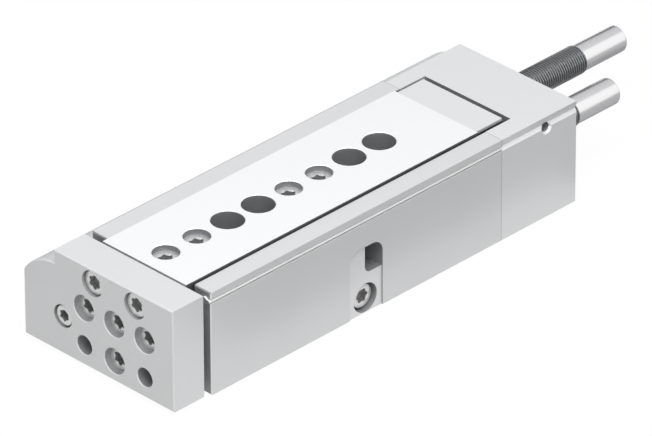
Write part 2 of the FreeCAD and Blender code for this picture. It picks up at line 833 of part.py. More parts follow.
def stud(x_end, y):
    """Smooth rear end of a stop unit with its shank inside the threaded sleeve."""
    radius = stud_diameter / 2
    face = 0.3 * stud_round
    front = sleeve_front_x - x_end
    points = [(0.0, 0.0), (0.0, radius - stud_round), (face, radius - face),
              (stud_round, radius), (stud_length, radius), (stud_length, shank_diameter / 2),
              (front, shank_diameter / 2), (front, 0.0)]
    return turned(points, V(x_end, y, stop_z), V(1, 0, 0))


def sleeve(x_end, y):
    return tube_x(sleeve_diameter / 2, sleeve_bore / 2, x_end, sleeve_front_x, y, stop_z)


def lock_nut(y):
    corner = lock_nut_size / math.sqrt(3)
    turns = [math.pi / 3 * k for k in range(7)]
    edge = Part.makePolygon([V(cap_rear_x - lock_nut_length, y + corner * math.cos(turn),
                               stop_z + corner * math.sin(turn)) for turn in turns])
    nut = Part.Face(edge).extrude(V(lock_nut_length, 0, 0))
    return nut.cut(thread_x(sleeve_diameter, cap_rear_x - lock_nut_length - 1, cap_rear_x + 1,
                            y, stop_z))


def retract_stop():
    y = stop_y
    sleeve_end = cap_rear_x - retract_sleeve_out
    save("retract_sleeve", sleeve(sleeve_end, y))
    body = stud(sleeve_end - stud_length, y)
    body = body.cut(rod_x(absorber_bore / 2, absorber_x, sleeve_front_x + 1, y, stop_z))
    save("retract_absorber_body", body)
    save("retract_lock_nut", lock_nut(y))
    rear = absorber_x + plunger_travel + plunger_end_gap
    neck = nose_back_x - rear
    tip = plunger_tip_x - rear
    nose = plunger_nose / 2
    points = [(0.0, 0.0), (0.0, plunger_diameter / 2), (neck, plunger_diameter / 2), (neck, nose),
              (tip - plunger_nose_bevel, nose), (tip, nose - plunger_nose_bevel), (tip, 0.0)]
    save("retract_plunger", turned(points, V(rear, y, stop_z), V(1, 0, 0)))
    mean = (plunger_diameter + absorber_bore) / 4
    pitch = (nose_back_x - absorber_x - spring_wire) / (spring_turns - 1)
    coils = []
    for turn in range(spring_turns):
        centre = V(absorber_x + spring_wire / 2 + turn * pitch, y, stop_z)
        coils.append(Part.makeTorus(mean, spring_wire / 2, centre, V(1, 0, 0)))
    save("retract_spring", *coils)


def advance_stop():
    y = -stop_y
    sleeve_end = cap_rear_x - advance_sleeve_out
    save("advance_sleeve", sleeve(sleeve_end, y))
    rod = stud(sleeve_end - stud_length, y)
    rod = rod.fuse(rod_x(tie_rod_diameter / 2, sleeve_front_x - 1, tie_rod_end_x, y, stop_z))
    save("advance_stop_rod", rod.removeSplitter())
    inner = tie_rod_diameter / 2 + seal_clearance
    outer = collar_diameter / 2
    save("advance_buffer", tube_x(outer, inner, buffer_rear_x, collar_rear_x, y, stop_z))
    save("advance_collar", tube_x(outer, inner, collar_rear_x, tie_rod_end_x, y, stop_z))
    save("advance_lock_nut", lock_nut(y))


os.makedirs("parts", exist_ok=True)
housing()
slot_cover()
pocket_screw()
rear_cap()
rear_cap_screws()
end_plate()
end_plate_screws()
slide_table()
table_screws()
guide_rail()
outer_rails()
rail_end_stops()
ball_cages()
slide_head()
stop_block()
stop_block_screws()
sensing_magnet()
piston_parts()
rod_guide_parts()
rear_plug_parts()
retract_stop()
advance_stop()
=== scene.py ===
"""Looks of the pneumatic slide table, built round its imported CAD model. Lengths are in metres."""
import bmesh
import bpy
import math
from mathutils import Matrix, Vector


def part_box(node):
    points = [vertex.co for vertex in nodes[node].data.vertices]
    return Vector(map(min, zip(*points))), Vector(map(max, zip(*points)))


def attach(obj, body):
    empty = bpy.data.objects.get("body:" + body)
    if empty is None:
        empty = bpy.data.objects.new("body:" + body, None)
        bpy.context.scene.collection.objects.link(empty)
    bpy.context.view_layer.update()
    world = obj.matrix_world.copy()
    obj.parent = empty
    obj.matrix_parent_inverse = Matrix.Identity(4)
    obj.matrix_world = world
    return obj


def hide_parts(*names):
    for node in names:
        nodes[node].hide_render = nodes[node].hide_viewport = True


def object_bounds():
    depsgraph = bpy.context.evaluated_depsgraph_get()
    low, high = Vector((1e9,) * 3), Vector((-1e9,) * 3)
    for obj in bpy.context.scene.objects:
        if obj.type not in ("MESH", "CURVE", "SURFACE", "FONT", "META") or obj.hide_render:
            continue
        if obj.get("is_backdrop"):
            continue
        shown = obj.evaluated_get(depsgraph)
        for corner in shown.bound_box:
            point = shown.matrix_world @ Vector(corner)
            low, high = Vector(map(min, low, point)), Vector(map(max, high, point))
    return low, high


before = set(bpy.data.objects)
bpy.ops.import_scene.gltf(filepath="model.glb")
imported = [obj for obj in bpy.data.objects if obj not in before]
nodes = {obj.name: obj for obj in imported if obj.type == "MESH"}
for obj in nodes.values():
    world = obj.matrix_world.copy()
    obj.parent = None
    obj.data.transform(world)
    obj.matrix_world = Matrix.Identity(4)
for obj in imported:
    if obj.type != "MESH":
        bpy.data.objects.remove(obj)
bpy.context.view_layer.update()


# The studio: a white sweep of paper under the slide table and white all round it, with one large
# soft box above and a weak one beside it. Grey and black cards, which only mirror-like rays
# meet, give the bright metal its bands. Nothing here belongs to the object.
scene = bpy.context.scene
scene.view_settings.view_transform = "Standard"


def add(tree, kind, inputs, **settings):
    """Adds a node, sets its options and feeds its inputs with values or other nodes' outputs."""
    node = tree.nodes.new(kind)
    for option, value in settings.items():
        setattr(node, option, value)
    for socket, value in inputs.items():
        if isinstance(value, bpy.types.NodeSocket):
            tree.links.new(value, node.inputs[socket])
        else:
            node.inputs[socket].default_value = value
    return node


def calc(operation, first, second=0.0):
    """One step of arithmetic in a node tree, where one number or both are outputs of nodes."""
    tree = (first if isinstance(first, bpy.types.NodeSocket) else second).id_data
    return add(tree, "ShaderNodeMath", {0: first, 1: second}, operation=operation).outputs[0]


def plus(first, second):
    return calc("ADD", first, second)


def minus(first, second):
    return calc("SUBTRACT", first, second)


def times(first, second):
    return calc("MULTIPLY", first, second)


def over(first, second):
    return calc("DIVIDE", first, second)


def new_material(name):
    """A material with its Principled shader; returns the material, its tree and the shader."""
    material = bpy.data.materials.new(name)
    material.use_nodes = True
    tree = material.node_tree
    return material, tree, tree.nodes["Principled BSDF"]


def show_white(tree, shaded, output, share):
    """Shows a share of plain white to the camera and in reflections; elsewhere all is shaded."""
    path = tree.nodes.new("ShaderNodeLightPath")
    seen = calc("MAXIMUM", path.outputs["Is Camera Ray"], path.outputs["Is Glossy Ray"])
    seen = calc("MAXIMUM", seen, path.outputs["Is Transmission Ray"])
    amount = times(seen, share)
    white = add(tree, "ShaderNodeBackground" if output.node.type == "OUTPUT_WORLD"
                else "ShaderNodeEmission", {"Color": (1, 1, 1, 1), "Strength": 1.0})
    mix = add(tree, "ShaderNodeMixShader", {0: amount, 1: shaded, 2: white.outputs[0]})
    tree.links.new(mix.outputs[0], output)


world = bpy.data.worlds.new("white_studio")
scene.world = world
world.use_nodes = True
sky = world.node_tree.nodes["Background"]
sky.inputs["Color"].default_value = (0.97, 0.985, 1.0, 1)
sky.inputs["Strength"].default_value = 0.22
world_surface = world.node_tree.nodes["World Output"].inputs["Surface"]
show_white(world.node_tree, sky.outputs[0], world_surface, 1.0)


def flat_sheet(name, width, height):
    """A flat rectangle that belongs to the studio."""
    mesh = bpy.data.meshes.new(name)
    x, y = width / 2, height / 2
    mesh.from_pydata([(-x, -y, 0), (x, -y, 0), (x, y, 0), (-x, y, 0)], [], [(0, 1, 2, 3)])
    sheet = bpy.data.objects.new(name, mesh)
    scene.collection.objects.link(sheet)
    sheet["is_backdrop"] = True
    return sheet


def soft_box(name, place, aim, size, power):
    """A rectangular lamp that shines from its place to its aim."""
    lamp = bpy.data.lights.new(name, "AREA")
    lamp.shape = "RECTANGLE"
    lamp.size, lamp.size_y = size
    lamp.energy = power
    holder = bpy.data.objects.new(name, lamp)
    scene.collection.objects.link(holder)
    holder.location = place
    holder.rotation_euler = (Vector(aim) - Vector(place)).to_track_quat("-Z", "Y").to_euler()


def mirror_card(name, place, aim, size, grey):
    """A card of one grey that shows in bright metal and casts neither light nor shadow."""
    card = flat_sheet(name, *size)
    card.location = place
    card.rotation_euler = (Vector(aim) - Vector(place)).to_track_quat("Z", "Y").to_euler()
    card.visible_camera = False
    card.visible_diffuse = False
    card.visible_shadow = False
    material, tree, shader = new_material(name)
    shader.inputs["Base Color"].default_value = (0, 0, 0, 1)
    shader.inputs["Roughness"].default_value = 1.0
    shader.inputs["Emission Color"].default_value = (grey, grey, grey * 1.03, 1)
    shader.inputs["Emission Strength"].default_value = 1.0
    card.data.materials.append(material)


middle = (0.0, 0.0, 0.02)
soft_box("soft_box_above", (0.2, 0.29, 1.02), middle, (1.0, 1.0), 13.4)
soft_box("soft_box_low", (0.42, 0.62, 0.06), middle, (0.5, 0.2), 1.2)
mirror_card("grey_card_behind", (-1.3, -0.55, 1.05), (-0.1, 0.0, 0.02), (1.9, 1.5), 0.6)
mirror_card("black_card_left", (-0.62, -0.78, 0.2), (-0.1, 0.0, 0.03), (1.5, 0.4), 0.12)
for name, place, size, grey in (("grey_card_low", (-0.24, 0.11), (0.27, 0.30), 0.42),
                                ("grey_card_side", (-0.035, 0.145), (0.15, 0.2), 0.28),
                                ("grey_card_left", (-0.03, -0.22), (0.3, 0.28), 0.2),
                                ("black_card_under", (-0.145, -0.02), (0.07, 0.07), 0.1)):
    mirror_card(name, (*place, 0.0), (*place, 1.0), size, grey)

floor = flat_sheet("floor_paper", 24.0, 24.0)
floor.location.z = -0.0004
floor_material, floor_tree, floor_shader = new_material("white_paper")
seen_paper = floor_tree.nodes.new("ShaderNodeLightPath").outputs["Is Camera Ray"]
floor_white = add(floor_tree, "ShaderNodeMix", {"Factor": seen_paper, "A": (0.32, 0.32, 0.32, 1),
                                                "B": (1, 1, 1, 1)}, data_type="RGBA")
floor_tree.links.new(floor_white.outputs["Result"], floor_shader.inputs["Base Color"])
floor_shader.inputs["Roughness"].default_value = 0.9
floor_surface = floor_tree.nodes["Material Output"].inputs["Surface"]
show_white(floor_tree, floor_shader.outputs[0], floor_surface, 0.96)
floor.data.materials.append(floor_material)


# The camera stands to the front and right of the slide table, 31 degrees above it, with the
# long lens and the small roll that the photograph's edges give.
camera = bpy.data.cameras.new("camera")
camera_holder = bpy.data.objects.new("camera", camera)
scene.collection.objects.link(camera_holder)
scene.camera = camera_holder
camera.sensor_width = 36.0
camera.lens = 503.9
camera.clip_end = 60.0
right = Vector((-0.70495042, 0.70925087, -0.0028465))
down = Vector((0.36992241, 0.36424926, -0.85468116))
forward = Vector((-0.60514652, -0.60356083, -0.51914546))
turn = Matrix((right, -down, -forward)).transposed().to_4x4()
camera_holder.matrix_world = Matrix.Translation((1.738135, 1.743357, 1.519494)) @ turn


# The housing is one extruded and milled aluminium block with the side groove, the round
# shoulder over the cylinder and the shallow pocket. It is bead blasted and clear anodised
# outside. Its front face, its joint with the cap, its channel and its holes carry a dark grey as
# painted shade.
def shader_group(name, inputs):
    """A group of shader nodes that puts out a colour, a roughness and a height for a finish."""
    group = bpy.data.node_groups.new(name, "ShaderNodeTree")
    shared = [("Colour", (0.7, 0.7, 0.7, 1)), ("Roughness", 0.4), ("Contrast", 0.1)]
    for label, value in shared + inputs:
        kind = {tuple: "NodeSocketColor", float: "NodeSocketFloat",
                Vector: "NodeSocketVector"}[type(value)]
        socket = group.interface.new_socket(label, in_out="INPUT", socket_type=kind)
        socket.default_value = value
    for label, kind in (("Colour", "NodeSocketColor"), ("Roughness", "NodeSocketFloat"),
                        ("Height", "NodeSocketFloat")):
        group.interface.new_socket(label, in_out="OUTPUT", socket_type=kind)
    return group, group.nodes.new("NodeGroupInput").outputs


def put_out(group, inputs, pattern):
    """Shades a group's colour and roughness with a pattern that runs from 0 to 1."""
    swing = times(minus(pattern, 0.5), inputs["Contrast"])
    tone = plus(swing, 1.0)
    colour = add(group, "ShaderNodeVectorMath", {0: inputs["Colour"], "Scale": tone},
                 operation="SCALE")
    roughness = minus(inputs["Roughness"], times(swing, 0.5))
    end = group.nodes.new("NodeGroupOutput")
    group.links.new(colour.outputs[0], end.inputs["Colour"])
    group.links.new(roughness, end.inputs["Roughness"])
    group.links.new(pattern, end.inputs["Height"])


def noise(tree, place, scale, detail):
    """A cloudy pattern from 0 to 1 that is fixed to its piece."""
    return add(tree, "ShaderNodeTexNoise", {"Vector": place, "Scale": scale,
                                            "Detail": detail}).outputs[0]


blasted_skin, skin_ends = shader_group("blasted_skin", [("Grain Size", 0.00015)])
place = add(blasted_skin, "ShaderNodeTexCoord", {}).outputs["Object"]
fine = noise(blasted_skin, place, over(1.0, skin_ends["Grain Size"]), 3.0)
cloud = noise(blasted_skin, place, 45.0, 2.0)
put_out(blasted_skin, skin_ends, plus(times(fine, 0.6), times(cloud, 0.4)))


def finish(name, group, colour, metallic, roughness, contrast, depth, **sizes):
    """A metal, rubber or plastic finish: one pattern group in a Principled shader with a bump."""
    material, tree, shader = new_material(name)
    pattern = add(tree, "ShaderNodeGroup", {}, node_tree=group)
    settings = {"Colour": (*colour, 1), "Roughness": roughness, "Contrast": contrast}
    settings.update({label.replace("_", " "): value for label, value in sizes.items()})
    for label, value in settings.items():
        pattern.inputs[label].default_value = value
    bump = add(tree, "ShaderNodeBump", {"Height": pattern.outputs["Height"], "Distance": depth,
                                        "Strength": 0.5})
    tree.links.new(pattern.outputs["Colour"], shader.inputs["Base Color"])
    tree.links.new(pattern.outputs["Roughness"], shader.inputs["Roughness"])
    tree.links.new(bump.outputs[0], shader.inputs["Normal"])
    shader.inputs["Metallic"].default_value = metallic
    return material


def place_piece(name, mesh, body, slot, *replaced):
    """Puts a finished mesh on its CAD body in place of the CAD parts that it stands for."""
    piece = bpy.data.objects.new(name, mesh)
    scene.collection.objects.link(piece)
    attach(piece, body)
    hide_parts(*replaced)


def finished_copy(name, body, slot, materials, choice=None, cut=None):
    """Welded copy of a CAD part with its true normals. The choice numbers a face's finish, and
    the cut is the point and the normal of a plane that divides the faces first."""
    source = nodes[name].data
    normals = iter(source.corner_normals)
    shape = bmesh.new()
    shape.from_mesh(source)
    true_normal = shape.loops.layers.float_vector.new("true_normal")
    for face in shape.faces:
        face.smooth = True
        for corner in face.loops:
            corner[true_normal] = next(normals).vector
    bmesh.ops.remove_doubles(shape, verts=shape.verts, dist=0.000001)
    if cut:
        point, normal = cut
        bmesh.ops.bisect_plane(shape, geom=[*shape.verts, *shape.edges, *shape.faces],
                               plane_co=point, plane_no=normal)
    if choice:
        for face in shape.faces:
            face.material_index = int(choice(face.calc_center_median(), face.normal))
    mesh = bpy.data.meshes.new(name + "_finished")
    shape.to_mesh(mesh)
    shape.free()
    for material in materials:
        mesh.materials.append(material)
    kept = mesh.attributes["true_normal"]
    mesh.normals_split_custom_set([corner.vector for corner in kept.data])
    mesh.attributes.remove(mesh.attributes["true_normal"])
    place_piece(name + "_finished", mesh, body, slot, name)


# The housing's anodised colour is a little darker than the cap's copy of the same finish, as
# painted shade on the housing's side.
anodised_with_painted_shade = finish("anodised_body", blasted_skin, (0.735, 0.74, 0.745), 0.3, 0.42, 0.10, 0.00002,
                  Grain_Size=0.00014)
# A dark grey that stands for shade in holes, channels, hidden ends and joints: painted shade.
painted_shade_wall = finish("painted_shade_finish", blasted_skin, (0.3, 0.303, 0.308), 0.25, 0.5, 0.2, 0.00002,
                 Grain_Size=0.0003)
pocket_low = (-0.0095, 0.0, -0.001)
pocket_high = (0.0070, 0.0255, 0.0255)
pocket_depth = 0.0008
channel_half = 0.0215
channel_floor_z = 0.0005
channel_top_z = 0.0368
housing_low, housing_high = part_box("housing")
housing_outer = housing_high[1]
seam_x = housing_low[0] + 0.00014
skin = 0.0001


def inside_housing(centre, normal):
    """Front face, joint with the cap, channel, window, screw hole and the pocket's step are 1,
    which is painted shade, the pocket's milled floor is 2, and the skin is 0."""
    # The front face, the slot's lit front chamfer and the thin strip behind the seam plane take the
    # dark grey: painted shade, the last a painted shadow line at the joint with the cap.
    front_tilt = 0.9 if centre.y > housing_outer - 3 * skin else 0.3
    if centre.x < seam_x or normal.x > front_tilt and centre.x > housing_high[0] - 4 * skin:
        return 1
    in_pocket = all(pocket_low[i] < centre[i] < pocket_high[i] for i in range(3))
    if not in_pocket and centre.y > housing_outer - pocket_depth:
        below_skin = centre.y < housing_outer - skin and centre.z < pocket_high[2] and \
            pocket_low[0] < centre.x < pocket_high[0]
        return (1 if abs(normal.y) < 0.5 else 2) if below_skin else 0
    channel = abs(centre.y) < channel_half and normal.y < 0.9 and \
        channel_floor_z < centre.z < channel_top_z
    return int(in_pocket or channel)


milled = finish("milled_floor", blasted_skin, (0.81, 0.815, 0.82), 0.3, 0.4, 0.06, 0.00002,
                Grain_Size=0.00014)
finished_copy("housing", "base", "anodised_body", (anodised_with_painted_shade, painted_shade_wall, milled), inside_housing,
              ((seam_x, 0, 0), (1, 0, 0)))


# A round strip snapped into the right sensor slot closes it. It is extruded pale plastic, and
# it shows as a light line in the side groove. Its cut front end takes the housing's dark grey as
# painted shade.
strip_plastic = finish("pale_strip", blasted_skin, (0.96, 0.96, 0.96), 0.0, 0.35, 0.06, 0.00001,
                       Grain_Size=0.0004)
finished_copy("slot_cover", "base", "pale_strip", (strip_plastic, painted_shade_wall),
              lambda centre, normal: normal.x > 0.3)


# Two hardened rails lie in the housing's walls and one under the table. Their V grooves are
# ground along their length. Thin steel stops close the ends of the ball tracks.
tool_lines, line_ends = shader_group("tool_lines", [("Mark Size", Vector((0.03, 0.0002, 0.0002)))])
place = add(tool_lines, "ShaderNodeTexCoord", {}).outputs["Object"]
along = add(tool_lines, "ShaderNodeVectorMath", {0: place, 1: line_ends["Mark Size"]},
            operation="DIVIDE").outputs[0]
put_out(tool_lines, line_ends, noise(tool_lines, along, 1.0, 4.0))
guide_steel = finish("guide_steel", tool_lines, (0.60, 0.61, 0.63), 1.0, 0.24, 0.25, 0.000004,
                     Mark_Size=Vector((0.02, 0.00008, 0.00008)))
for side in ("left", "right"):
    finished_copy("outer_rail_" + side, "base", "guide_steel", (guide_steel,))
finished_copy("guide_rail", "slide", "guide_steel", (guide_steel,))


def paint(material, *names):
    """Gives CAD parts that keep their own shape their finish."""
    for name in names:
        for place in nodes[name].material_slots:
            place.link = "OBJECT"
            place.material = material


paint(guide_steel, "rail_end_stops")


# A row of polished steel balls runs on each side between the rails, each ball in a round
# pocket of a thin moulded cage. Balls and cage follow the slide at half its travel.
def nodes_tree(name, inputs):
    """An empty geometry tree with its named inputs; returns it, its input and output ends."""
    tree = bpy.data.node_groups.new(name, "GeometryNodeTree")
    for label, kind in [("Geometry", "NodeSocketGeometry")] + inputs:
        tree.interface.new_socket(label, in_out="INPUT", socket_type=kind)
    tree.interface.new_socket("Geometry", in_out="OUTPUT", socket_type="NodeSocketGeometry")
    return tree, tree.nodes.new("NodeGroupInput").outputs


def close_tree(tree, geometry, finish_input):
    """Ends a geometry tree as plain faces in one material."""
    real = add(tree, "GeometryNodeRealizeInstances", {"Geometry": geometry}).outputs[0]
    dressed = add(tree, "GeometryNodeSetMaterial", {"Geometry": real, "Material": finish_input})
    tree.links.new(dressed.outputs[0], tree.nodes.new("NodeGroupOutput").inputs[0])


def grow(tree, points, settings):
    """Runs a geometry tree on a few points and returns what it makes as a plain mesh."""
    seed = bpy.data.meshes.new("seed_points")
    seed.from_pydata(points, [], [])
    maker = bpy.data.objects.new("maker", seed)
    scene.collection.objects.link(maker)
    modifier = maker.modifiers.new("grow", "NODES")
    modifier.node_group = tree
    for item in tree.interface.items_tree:
        if item.in_out == "INPUT" and item.name in settings:
            modifier[item.identifier] = settings[item.name]
    graph = bpy.context.evaluated_depsgraph_get()
    mesh = bpy.data.meshes.new_from_object(maker.evaluated_get(graph))
    maker.modifiers.remove(modifier)
    bpy.data.objects.remove(maker)
    return mesh


def grown_piece(name, meshes, material, body, slot, sharp, *replaced):
    """Joins meshes into one piece whose faces point out and whose sharp edges stay sharp."""
    shape = bmesh.new()
    for mesh in meshes:
        shape.from_mesh(mesh)
    bmesh.ops.recalc_face_normals(shape, faces=shape.faces)
    for face in shape.faces:
        face.smooth = True
        face.material_index = 0
    joined = bpy.data.meshes.new(name)
    shape.to_mesh(joined)
    shape.free()
    joined.materials.append(material)
    joined.set_sharp_from_angle(angle=math.radians(sharp))
    place_piece(name, joined, body, slot, *replaced)


ball_row, ball_ends = nodes_tree("ball_row", [("Ball Radius", "NodeSocketFloat"),
                                              ("Ball Count", "NodeSocketInt"),
                                              ("Ball Pitch", "NodeSocketVector"),
                                              ("Finish", "NodeSocketMaterial")])
spots = add(ball_row, "GeometryNodeMeshLine", {"Count": ball_ends["Ball Count"],
                                               "Offset": ball_ends["Ball Pitch"]})
ball = add(ball_row, "GeometryNodeMeshIcoSphere", {"Radius": ball_ends["Ball Radius"],
                                                   "Subdivisions": 4})
row = add(ball_row, "GeometryNodeInstanceOnPoints", {"Points": spots.outputs[0],
                                                     "Instance": ball.outputs[0]})
rows = add(ball_row, "GeometryNodeInstanceOnPoints", {"Points": ball_ends["Geometry"],
                                                      "Instance": row.outputs[0]})
close_tree(ball_row, rows.outputs[0], ball_ends["Finish"])
ball_steel = finish("ball_steel", blasted_skin, (0.82, 0.82, 0.84), 1.0, 0.08, 0.04, 0.000001,
                    Grain_Size=0.0005)
cage_plastic = finish("cage_plastic", blasted_skin, (0.16, 0.16, 0.17), 0.0, 0.5, 0.2, 0.00001,
                      Grain_Size=0.0002)
ball_count = 12
for side in ("left", "right"):
    low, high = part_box("balls_" + side)
    radius = (high[2] - low[2]) / 2
    pitch_x = (high[0] - low[0] - 2 * radius) / (ball_count - 1)
    first = [(low[0] + radius, (low[1] + high[1]) / 2, low[2] + radius)]
    mesh = grow(ball_row, first, {"Ball Radius": radius, "Ball Count": ball_count,
                                  "Ball Pitch": (pitch_x, 0.0, 0.0), "Finish": ball_steel})
    grown_piece("ball_row_" + side, [mesh], ball_steel, "cage_" + side, "ball_steel", 60,
                "balls_" + side)
    paint(cage_plastic, "ball_cage_" + side)


# The table is an aluminium plate with a finely ground pale top. On its centre line it has holes
# for pins and screws, and wider ones that let the base screws and their key pass.
ground_top = finish("ground_top", tool_lines, (0.925, 0.93, 0.932), 0.25, 0.4, 0.025, 0.000003,
                    Mark_Size=Vector((0.018, 0.00015, 0.00015)))
# Near black for the flanks and undersides in the narrow gaps beside and under the table: painted
# shade.
painted_flank_shade = finish("painted_flank_shade", tool_lines, (0.12, 0.122, 0.126), 0.6, 0.5, 0.25, 0.00001,
                    Mark_Size=Vector((0.02, 0.0003, 0.0003)))
# A darker grey for the end plate's hole walls, as painted shade.
plate_hole_shade = finish("plate_hole_shade_finish", blasted_skin, (0.38, 0.385, 0.39), 0.2, 0.4, 0.12, 0.00001,
               Grain_Size=0.0003)
# A dark grey for the table's small holes and end faces, as painted shade.
table_hole_shade = finish("table_hole_shade", blasted_skin, (0.26, 0.265, 0.27), 0.3, 0.4, 0.12, 0.00001,
                    Grain_Size=0.0003)


hole_pitch = 0.0135
wide_places = (1.5 * hole_pitch, 2.5 * hole_pitch)
wide_reach = 0.0058
holes_half = 0.0065


def table_faces(centre, normal):
    """The ground top is 0, the flanks and underside 1, small holes and ends 2, wide holes 3; 1, 2
    and 3 are darker greys as painted shade.
    """
    if abs(centre.y) > holes_half or abs(normal.z) > 0.5:
        return 2 if abs(normal.x) > 0.9 else int(abs(normal.y) > 0.9 or normal.z < -0.9)
    return 3 if any(abs(abs(centre.x) - x) < wide_reach for x in wide_places) else 2


# The table's wide holes take the housing's dark grey, as painted shade.
finished_copy("slide_table", "slide", "ground_top", (ground_top, painted_flank_shade, table_hole_shade, painted_shade_wall),
              table_faces)


# The slide head is the aluminium block under the table's front end that the end plate is
# screwed to. The stop block behind the table is milled steel, a little greyer than the top,
# and its flanks below the edge carry a near black as painted shade of the narrow gap.
inner_aluminium = finish("inner_aluminium", tool_lines, (0.70, 0.71, 0.72), 0.8, 0.35, 0.12,
                         0.000005, Mark_Size=Vector((0.0003, 0.008, 0.0003)))
block_metal = finish("stop_block_metal", tool_lines, (0.80, 0.811, 0.812), 0.3, 0.4, 0.04,
                     0.000004, Mark_Size=Vector((0.0002, 0.010, 0.0002)))
finished_copy("slide_head", "slide", "inner_aluminium", (inner_aluminium,))
flank_top_z = 0.0368
finished_copy("stop_block", "slide", "stop_block_metal", (block_metal, painted_flank_shade),
              lambda centre, normal: abs(normal.y) > 0.9 and centre.z < flank_top_z,
              ((0, 0, flank_top_z), (0, 0, 1)))


# The end plate is a milled aluminium plate, blasted and anodised like the housing. Screws hold
# it to the slide head, to the table and to the piston rod.
plate_metal = finish("plate_metal", blasted_skin, (0.75, 0.755, 0.76), 0.3, 0.42, 0.08, 0.00002,
                     Grain_Size=0.00014)
row_z = 0.0217
low_row_z = 0.0082
top_row_z = 0.0325
top_half = 0.0094
cylinder_y = -0.0229
cylinder_z = 0.0148
m5_places = [(-hole_pitch, row_z), (0.0, row_z), (hole_pitch, row_z), (0.0, low_row_z)]
plain_places = [(-hole_pitch, low_row_z), (hole_pitch, low_row_z)]
top_places = [(-top_half, top_row_z), (top_half, top_row_z)]
bored_places = m5_places + plain_places + top_places + [(cylinder_y, cylinder_z)]
bore_reach = 0.0048


def in_plate_hole(centre, normal):
    """Walls of the plate's holes, which take a darker grey as painted shade."""
    return abs(normal.x) < 0.5 and any(math.hypot(centre.y - y, centre.z - z) < bore_reach
                                       for y, z in bored_places)


finished_copy("end_plate", "slide", "plate_metal", (plate_metal, plate_hole_shade), in_plate_hole)


# Every screw is a zinc plated steel screw with a round head and a six-lobe socket. The head is
# turned, so fine rings run round its face, and the socket is punched, its faces mixed to a dark
# grey as painted shade.
turned_rings, ring_ends = shader_group("turned_rings", [("Ring Width", 0.0002), ("Radius", 0.0)])
ring_number = over(ring_ends["Radius"], ring_ends["Ring Width"])
rings = add(turned_rings, "ShaderNodeTexNoise", {"W": ring_number, "Scale": 1.0, "Detail": 2.0},
            noise_dimensions="1D").outputs[0]
put_out(turned_rings, ring_ends, rings)


def ringed(material, attribute):
    """Feeds a turned finish with the distance from the axis that its piece carries."""
    tree = material.node_tree
    group = next(node for node in tree.nodes if node.type == "GROUP")
    source = add(tree, "ShaderNodeAttribute", {}, attribute_name=attribute)
    tree.links.new(source.outputs["Fac"], group.inputs["Radius"])
    return material


def by_row(tree, row, values):
    """Picks one value for each row of a lathe's grid, counted from the first row."""
    pick = tree.nodes.new("GeometryNodeIndexSwitch")
    pick.data_type = "FLOAT"
    while len(pick.index_switch_items) < len(values):
        pick.index_switch_items.new()
    tree.links.new(row, pick.inputs[0])
    for number, value in enumerate(values, 1):
        if isinstance(value, bpy.types.NodeSocket):
            tree.links.new(value, pick.inputs[number])
        else:
            pick.inputs[number].default_value = value
    return pick.outputs[0]


def lathe_grid(tree, rows, around):
    """Grid of rows that run round an axis; returns it with the row and angle of each point."""
    grid = add(tree, "GeometryNodeMeshGrid", {"Size X": 1.0, "Size Y": 1.0, "Vertices X": rows,
                                              "Vertices Y": around + 1}).outputs[0]
    index = tree.nodes.new("GeometryNodeInputIndex").outputs[0]
    row = calc("FLOOR", over(plus(index, 0.5), around + 1))
    column = minus(index, times(row, around + 1))
    return grid, row, times(column, 2 * math.pi / around)


def wrap(tree, grid, radius, angle, height):
    """Bends the grid round the Z axis, closes its seams and notes each point's radius."""
    x = times(radius, calc("COSINE", angle))
    y = times(radius, calc("SINE", angle))
    spot = add(tree, "ShaderNodeCombineXYZ", {"X": x, "Y": y, "Z": height}).outputs[0]
    noted = add(tree, "GeometryNodeStoreNamedAttribute", {"Geometry": grid, "Name": "from_axis",
                                                          "Value": radius}).outputs[0]
    bent = add(tree, "GeometryNodeSetPosition", {"Geometry": noted, "Position": spot}).outputs[0]
    return add(tree, "GeometryNodeMergeByDistance",
               {"Geometry": bent, "Distance": 0.000002}).outputs[0]


def turn_to(tree, points, instance, facing):
    """Sets a copy on each point with its Z axis turned to the way it faces."""
    turn = add(tree, "FunctionNodeAlignRotationToVector", {"Vector": facing}, axis="Z")
    return add(tree, "GeometryNodeInstanceOnPoints", {"Points": points, "Instance": instance,
                                                      "Rotation": turn.outputs[0]}).outputs[0]


screw_tree, screw_ends = nodes_tree("six_lobe_screws", [
    ("Head Radius", "NodeSocketFloat"), ("Head Height", "NodeSocketFloat"),
    ("Thread Radius", "NodeSocketFloat"), ("Length", "NodeSocketFloat"),
    ("Socket Radius", "NodeSocketFloat"), ("Facing", "NodeSocketVector"),
    ("Finish", "NodeSocketMaterial")])
profile_points = 12
points_round = 72
grid, lathe_row, lathe_angle = lathe_grid(screw_tree, profile_points, points_round)
head, socket = screw_ends["Head Radius"], screw_ends["Socket Radius"]
shank = screw_ends["Thread Radius"]
head_foot = times(screw_ends["Head Height"], -1.0)
tip = minus(head_foot, screw_ends["Length"])
socket_floor = times(head_foot, 0.6)
edge_break = 0.0003
radii = by_row(screw_tree, lathe_row, [
    0.0, socket, socket, times(socket, 1.12), minus(head, edge_break),
    minus(head, edge_break * 0.3), head, head, shank, shank, minus(shank, edge_break), 0.0])
heights = by_row(screw_tree, lathe_row, [
    minus(socket_floor, edge_break), socket_floor, -edge_break * 0.6, 0.0, 0.0,
    -edge_break * 0.3, -edge_break, head_foot, head_foot, plus(tip, edge_break), tip, tip])
on_socket_wall = calc("LESS_THAN", calc("ABSOLUTE", minus(lathe_row, 1.5)), 1.0)
wave = calc("COSINE", times(lathe_angle, 6.0))
lobe_depth = 0.16
lobes = plus(times(times(wave, on_socket_wall), lobe_depth), 1.0)
in_socket = calc("LESS_THAN", lathe_row, 2.5)
